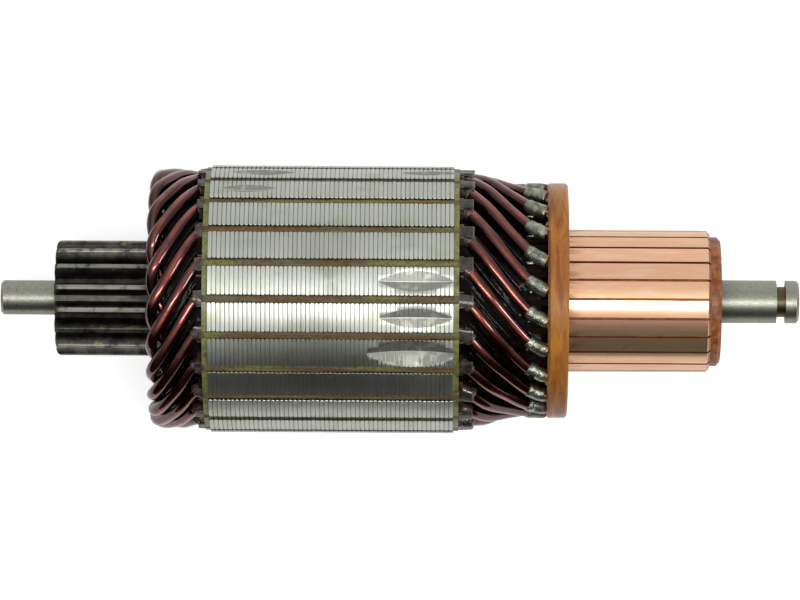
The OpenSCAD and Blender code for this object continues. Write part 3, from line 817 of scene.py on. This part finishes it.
def relaxed(points, spacing=0.9, passes=5):
    """The same path with even steps and its corners eased; its ends stay."""
    points = np.array(points)
    steps = [0.0]
    for p, q in zip(points, points[1:]):
        steps.append(steps[-1] + sheet_distance(p, q))
    even = np.linspace(0, steps[-1], int(steps[-1] / spacing) + 1)
    path = np.array([np.interp(even, steps, column) for column in points.T]).T
    for _ in range(passes):
        path[1:-1] = 0.25 * path[:-2] + 0.5 * path[1:-1] + 0.25 * path[2:]
    return list(path)


def coil_path():
    upper = lead(UPPER_LEAD, RISER_UPPER_R,
                 [RISER_UPPER_R + (UPPER_R - RISER_UPPER_R) * f for f in (0.15, 0.8)], UPPER_R,
                 RISER_FRONT - TAIL_LEN, TAIL_LEAN)
    lower = lead(LOWER_LEAD, RISER_LOWER_R, [RISER_LOWER_R + (LOWER_R - RISER_LOWER_R) * 0.15], LOWER_R,
                 RISER_BEND, 0.0)
    lower = [p + np.array((0.0, COIL_SPAN, 0.0)) for p in reversed(lower)]
    return relaxed(upper), relaxed(hairpin(), passes=3), relaxed(lower)


def tube(path, radius, sides=16):
    """A round wire through points in space; radius may be one number for each point."""
    path = np.array(path)
    radii = np.broadcast_to(radius, len(path))
    ahead = np.gradient(path, axis=0)
    rings = []
    for here, along, r in zip(path, ahead, radii):
        along = along / np.linalg.norm(along)
        outward = np.array((0.0, here[1], here[2]))
        up = outward - outward.dot(along) * along
        up /= np.linalg.norm(up)
        across = np.cross(along, up)
        rings.append([here + r * (math.cos(a) * up + math.sin(a) * across)
                      for a in np.linspace(0, 2 * math.pi, sides, endpoint=False)])
    return skin(rings)


LEG_OUT, HAIRPIN, LEG_BACK = coil_path()
PATH = LEG_OUT + HAIRPIN + LEG_BACK
for i in range(COILS):
    middle = (i + 0.5) * PITCH
    points = [polar(x, radius, turn * PITCH + middle) for x, turn, radius in PATH]
    wire = mesh_object(f"hairpin_{i + 1:02d}", *tube(points, WIRE_R), ENAMEL)
    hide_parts(f"coil_{i + 1:02d}")


# ---------- varnish (partly painted shade), cuffs and tinned ends ---


def wire_turn(x, drive_end):
    """Turn in pitches of an upper wire at x, from its slot."""
    if drive_end:
        slope = (COIL_SPAN / 2) / (TIP_CORNER - DRIVE_BEND)
        return max(0.0, (x - DRIVE_BEND) * slope)
    slope = UPPER_LEAD / (RISER_FRONT - TAIL_LEN - COMM_BEND)
    return min(max(0.0, (x - COMM_BEND) * slope), UPPER_LEAD)


def varnish_and_shade_skin(name, stations, drive_end, node):
    """Closed band of varnish between the two layers of wire; it climbs a little up the sides of each wire.
    Its near-black colour is partly painted shade, standing in for the shade between the wires.
    """
    around = COILS * 14
    outer, inner = [], []
    for x, radius, climb in stations:
        turn = wire_turn(x, drive_end) * PITCH
        phase = [math.cos(COILS * (2 * math.pi * k / around - turn - PITCH / 2)) for k in range(around)]
        outer.append([polar(x, radius + climb * (0.5 + 0.5 * c) ** 2, 2 * math.pi * k / around)
                      for k, c in enumerate(phase)])
        inner.append([polar(x, radius - 1.2, 2 * math.pi * k / around) for k in range(around)])
    rings = outer + inner[::-1] + [outer[0]]
    points, faces = skin(rings, caps=False)
    piece = mesh_object(name, points, faces, VARNISH_AND_PAINTED_SHADE)
    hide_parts(node)


def stations(start, end, radii, climb, count=14):
    """Even steps along the shaft, with the radius read off a few knots."""
    xs = np.linspace(start, end, count)
    rs = np.interp(xs, np.linspace(start, end, len(radii)), radii)
    return [(x, r, climb) for x, r in zip(xs, rs)]


varnish_and_shade_skin(
    "drive_varnish_and_painted_shade",
    stations(DRIVE_FACE - 0.3, TIP_CORNER + 3.6, [27.2, 27.1, 26.9, 26.6], 0.8),
    True,
    "drive_layer_insulation",
)
varnish_and_shade_skin(
    "commutator_varnish_and_painted_shade",
    stations(COMM_FACE + 0.3, RISER_FRONT - 0.6, [27.2, 26.3, 25.2, 24.4, 24.0, 24.0], 0.7),
    False,
    "commutator_layer_insulation",
)


def upper_wire(drive_end):
    """An outer wire near one end of the core, in rising order of x: x, turn and radius as three lists."""
    if drive_end:
        near = [p for p in HAIRPIN[:len(HAIRPIN) // 2] if p[0] > DRIVE_FACE - 6]
    else:
        near = [p for p in LEG_OUT if p[0] < COMM_FACE + 8]
    return np.array(sorted(near, key=lambda p: p[0])).T


def soften(piece):
    """Rounds a piece by one subdivision."""
    soft = piece.modifiers.new("soft", "SUBSURF")
    soft.levels = soft.render_levels = 1


def sleeves(name, face, length, drive_end):
    """Varnished paper that is wrapped round each wire where it leaves the slot, torn at its end."""
    xs, turns, radii = upper_wire(drive_end)
    direction = -1 if drive_end else 1
    sides = 18
    for k in range(COILS):
        middle = (k + 0.5) * PITCH
        tear = np.cumsum(rng.normal(0, 0.12, sides))
        tear -= np.linspace(tear[0], tear[-1], sides)
        path, width = [], []
        for f in np.linspace(0, 1, 9):
            x = face + direction * (length * f - 0.1)
            path.append(polar(x, np.interp(x, xs, radii) - 0.05, np.interp(x, xs, turns) * PITCH + middle))
            width.append(WIRE_R + 0.22 + rng.normal(0, 0.05) - 0.12 * f)
        points, faces = tube(path, np.array(width), sides)
        points = np.array(points)
        for j in range(sides):
            points[-sides + j, 0] += direction * tear[j]
            points[-2 * sides + j, 0] += direction * tear[j] * 0.6
        points += rng.normal(0, 0.035, points.shape)
        piece = mesh_object(f"{name}_{k + 1:02d}", points, faces, CUFF)
        soften(piece)


sleeves("drive_sleeve", DRIVE_FACE, 2.2, True)
sleeves("commutator_sleeve", COMM_FACE, 3.1, False)


TAIL = np.array(sorted((p for p in LEG_OUT if p[0] > RISER_FRONT - 8), key=lambda p: p[0])).T


def tail(f):
    """Place on an outer wire's tail, from the bend, 0, to the ring, 1: x, radius, turn from the slot."""
    x = RISER_FRONT - 0.1 - (TAIL_LEN + 0.4) * (1 - f)
    return x, np.interp(x, TAIL[0], TAIL[2]) + 0.05, np.interp(x, TAIL[0], TAIL[1]) * PITCH


def tinned_tails():
    """Solder round the bare tails of the wires over the risers."""
    for k in range(COILS):
        middle = (k + 0.5) * PITCH
        path, width = [], []
        for f in np.linspace(-0.04, 1, 12):
            x, r, turn = tail(f)
            path.append(polar(x, r + rng.normal(0, 0.03), turn + middle + rng.normal(0, 0.0015)))
            shoulder = min(1.0, 0.80 + 2.2 * (f + 0.04))
            width.append((WIRE_R + 0.20 + 0.12 * math.sin(3 * f) + rng.normal(0, 0.04)) * shoulder)
        piece = mesh_object(f"tinned_tail_{k + 1:02d}", *tube(path, np.array(width), 16), TINNED)
        soften(piece)


def lump(centre, size, turn, seed_spread=0.12):
    """A small uneven drop; size along the shaft, around it and outwards."""
    drop = bmesh.new()
    bmesh.ops.create_icosphere(drop, subdivisions=3 if seed_spread else 2, radius=1.0)
    points = []
    bumps = rng.normal(0, seed_spread, (6, 3))
    for v in drop.verts:
        swell = 1 + sum(max(0.0, v.co.dot(Vector(b).normalized())) ** 3 * Vector(b).length for b in bumps)
        x, r, a = centre
        points.append(polar(x + v.co.x * size[0] * swell, r + v.co.z * size[2] * swell,
                            a + turn + v.co.y * size[1] * swell / r))
    faces = [tuple(v.index for v in f.verts) for f in drop.faces]
    drop.free()
    return points, faces


def solder_drops():
    """Bright drops of solder beside the tails, where the lower wires lie in the risers."""
    parts = []
    for k in range(COILS):
        middle = (k + 0.5) * PITCH
        x = RISER_BACK + 0.9 + rng.normal(0, 0.2)
        place = (x, RISER_UPPER_R - 1.0 + rng.normal(0, 0.1), (UPPER_LEAD + 0.30) * PITCH)
        parts.append(lump(place, (0.95 + rng.normal(0, 0.25), 0.40 + rng.normal(0, 0.1), 0.45), middle))
    piece = mesh_object("solder_drops", *joined(parts), BRIGHT_SOLDER)


def resin_fillets():
    """Amber resin that was drawn up between the tails and the ring."""
    parts = []
    for k in range(COILS):
        middle = (k + 0.5) * PITCH
        for _ in range(4):
            x = RISER_FRONT - 0.1 - abs(rng.normal(0, 0.15))
            r = RISER_UPPER_R + rng.normal(0.3, 0.5)
            around = rng.normal(0, 1.0) / r
            size = (0.35, 0.35 + abs(rng.normal(0, 0.15)), 0.3)
            parts.append(lump((x, r, (UPPER_LEAD + TAIL_LEAN) * PITCH + around), size, middle))
    piece = mesh_object("resin_fillets", *joined(parts), FILLET)


def varnish_beads():
    """Small drops that dried on the varnish between the wires."""
    parts = []
    for k in range(COILS):
        for face, side, reach, low, high in ((DRIVE_FACE, -1, 8.0, 27.1, 26.8),
                                             (COMM_FACE, 1, 13.0, 27.2, 24.1)):
            for _ in range(9):
                f = rng.uniform(0.05, 1.0)
                x = face + side * reach * f
                phase = PITCH * (k + rng.uniform(-0.3, 0.3)) + wire_turn(x, side < 0) * PITCH
                radius = low + (high - low) * f + 0.05
                size = abs(rng.normal(0.10, 0.05)) + 0.05
                parts.append(lump((x, radius, phase), (size, size, size), 0.0, 0.0))
    piece = mesh_object("varnish_beads", *joined(parts), WET_VARNISH)


def varnish_runs():
    """Thin uneven runs of varnish that set between the outer wires and lie along them."""
    parts = []
    for k in range(COILS):
        for face, side, near, reach, low, high in ((DRIVE_FACE, -1, 1.2, 9.0, 27.45, 26.95),
                                                   (COMM_FACE, 1, 2.5, 14.5, 27.2, 24.3)):
            path, width = [], []
            offset = rng.normal(0.06, 0.05)
            for f in np.linspace(0, 1, 30):
                x = face + side * (near + (reach - near) * f)
                phase = (k + offset + rng.normal(0, 0.003) + wire_turn(x, side < 0)) * PITCH
                path.append(polar(x, low + (high - low) * f + rng.normal(0, 0.03), phase))
                width.append(0.17 + rng.normal(0, 0.02))
            parts.append(tube(path, np.array(width), 8))
    piece = mesh_object("varnish_runs", *joined(parts), WET_VARNISH)


def bare_spot():
    """The end of one wire that the solder missed, on the side that the camera sees."""
    first = (UPPER_LEAD + 0.5 * TAIL_LEAN + 0.5) * PITCH
    turn = first + round((math.radians(43) - first) / PITCH) * PITCH
    drop = lump((RISER_BACK + 1.4, RISER_UPPER_R + WIRE_R + 0.05, turn), (0.75, 0.65, 0.35), 0.0)
    piece = mesh_object("bare_spot", *drop, COPPER)


tinned_tails()
varnish_runs()
bare_spot()
solder_drops()
resin_fillets()
varnish_beads()

# ---------- CAD nodes that keep their shape ----------

dress("shaft", STEEL)
dress("drive_end_insulator", FIBRE)
dress("commutator_end_insulator", FIBRE)
dress("slot_liners", CUFF)
dress("commutator_bush", STEEL)
dress("commutator_hub", PHENOLIC)
dress("riser_ring", RESIN)
for i in range(COILS):
    dress(f"bar_{i + 1:02d}", COPPER)

# ---------- floor, light and camera ----------

scene = bpy.context.scene
FLOOR_Z = cad_box[0][2]
CAMERA_ELEVATION = math.radians(90) - PITCH / 2
VIEW_DISTANCE = 1270 * MM
VIEW_SIDE = 12.1 * MM
LENS = 245.77
SENSOR = 36
ROLL = math.radians(0.35)
FLOOR_SEEN = 0.65
FLOOR_MIRRORED = 0.10

# The studio: degrees about the shaft from the camera, towards the viewer, and the brightness there
STUDIO_LEVELS = [
    (-100, 0.88), (-75, 0.82), (-48, 0.66), (-30, 0.74), (-12, 0.84), (10, 0.90), (26, 0.55), (38, 0.09),
    (60, 0.008), (105, 0.006),
]


def floor():
    """White floor that keeps the shadow; it glows for the camera, and a little in what mirrors it."""
    long, near, far = 0.9, 0.13, 0.6
    corners = [(-long, -near), (long, -near), (long, far), (-long, far)]
    data = bpy.data.meshes.new("floor")
    data.from_pydata([(x, y, FLOOR_Z) for x, y in corners], [], [(0, 1, 2, 3)])
    made = bpy.data.objects.new("floor", data)
    scene.collection.objects.link(made)
    material = bpy.data.materials.new("floor_white")
    material.use_nodes = True
    white = Tree(material.node_tree)
    bsdf = white.tree.nodes["Principled BSDF"]
    bsdf.inputs["Base Color"].default_value = (0.82, 0.82, 0.82, 1)
    bsdf.inputs["Roughness"].default_value = 0.9
    bsdf.inputs["Emission Color"].default_value = (1, 1, 1, 1)
    path = white.node("LightPath")
    mirrored = white.maths("MULTIPLY", path.outputs["Is Glossy Ray"], FLOOR_MIRRORED)
    glow = white.maths("MULTIPLY_ADD", path.outputs["Is Camera Ray"], FLOOR_SEEN, mirrored)
    white.give(bsdf.inputs["Emission Strength"], glow)
    data.materials.append(material)


def surroundings():
    """Studio light by direction, dimmer towards the shaft's ends; the camera itself sees white."""
    world = bpy.data.worlds.new("studio")
    scene.world = world
    world.use_nodes = True
    sky = Tree(world.node_tree)
    background = sky.tree.nodes["Background"]
    split = sky.node("SeparateXYZ", Vector=sky.node("TexCoord").outputs["Generated"])
    turn = sky.maths("ARCTAN2", sky.maths("MULTIPLY", split.outputs["Y"], -1), split.outputs["Z"])
    place = sky.node("MapRange", Value=turn, From_Min=-math.pi, From_Max=math.pi)
    ramp = sky.node("ValToRGB", Fac=place.outputs["Result"])
    ramp.color_ramp.interpolation = "B_SPLINE"
    lean = 90 - math.degrees(CAMERA_ELEVATION)
    elements = ramp.color_ramp.elements
    while len(elements) < len(STUDIO_LEVELS):
        elements.new(0.5)
    for element, (degrees, level) in zip(elements, STUDIO_LEVELS):
        element.position = (degrees + lean + 180) / 360
        element.color = (level, level, level, 1)
    side = sky.maths("ABSOLUTE", split.outputs["X"])
    fade = sky.node("MapRange", Value=side, From_Min=0.2, From_Max=0.7, To_Min=1.0, To_Max=0.5)
    dimmed = sky.vector_maths("SCALE", ramp.outputs["Color"], fade.outputs["Result"])
    seen = sky.mix(sky.node("LightPath").outputs["Is Camera Ray"], dimmed, (1.0, 1.0, 1.0))
    sky.give(background.inputs["Color"], seen)
    background.inputs["Strength"].default_value = 1.0


def area_light(name, place, size_x, size_y, watts):
    data = bpy.data.lights.new(name, "AREA")
    data.shape = "RECTANGLE"
    data.size, data.size_y = size_x, size_y
    data.energy = watts
    made = bpy.data.objects.new(name, data)
    made.location = place
    made.rotation_euler = (-Vector(place)).to_track_quat("-Z", "Y").to_euler()
    made.visible_camera = False
    scene.collection.objects.link(made)


def camera():
    middle = Vector(((SHAFT_START + SHAFT_END) / 2 * MM, 0, 0))
    back = Vector((0, -math.cos(CAMERA_ELEVATION), math.sin(CAMERA_ELEVATION)))
    data = bpy.data.cameras.new("camera")
    data.lens = LENS
    data.sensor_width = SENSOR
    data.shift_x = -VIEW_SIDE / VIEW_DISTANCE * LENS / SENSOR
    made = bpy.data.objects.new("camera", data)
    made.location = middle + back * VIEW_DISTANCE + Vector((VIEW_SIDE, 0, 0))
    roll = Matrix.Rotation(ROLL, 4, "Z")
    made.matrix_world = (Matrix.Translation(made.location)
                         @ (-back).to_track_quat("-Z", "Y").to_matrix().to_4x4() @ roll)
    scene.collection.objects.link(made)
    scene.camera = made


floor()
surroundings()
camera()
area_light("key", (-0.02, -0.215, 0.9), 0.55, 0.12, 2.4)
area_light("side", (0.62, -0.10, 0.62), 0.24, 0.24, 2.0)
scene.view_settings.view_transform = "Standard"
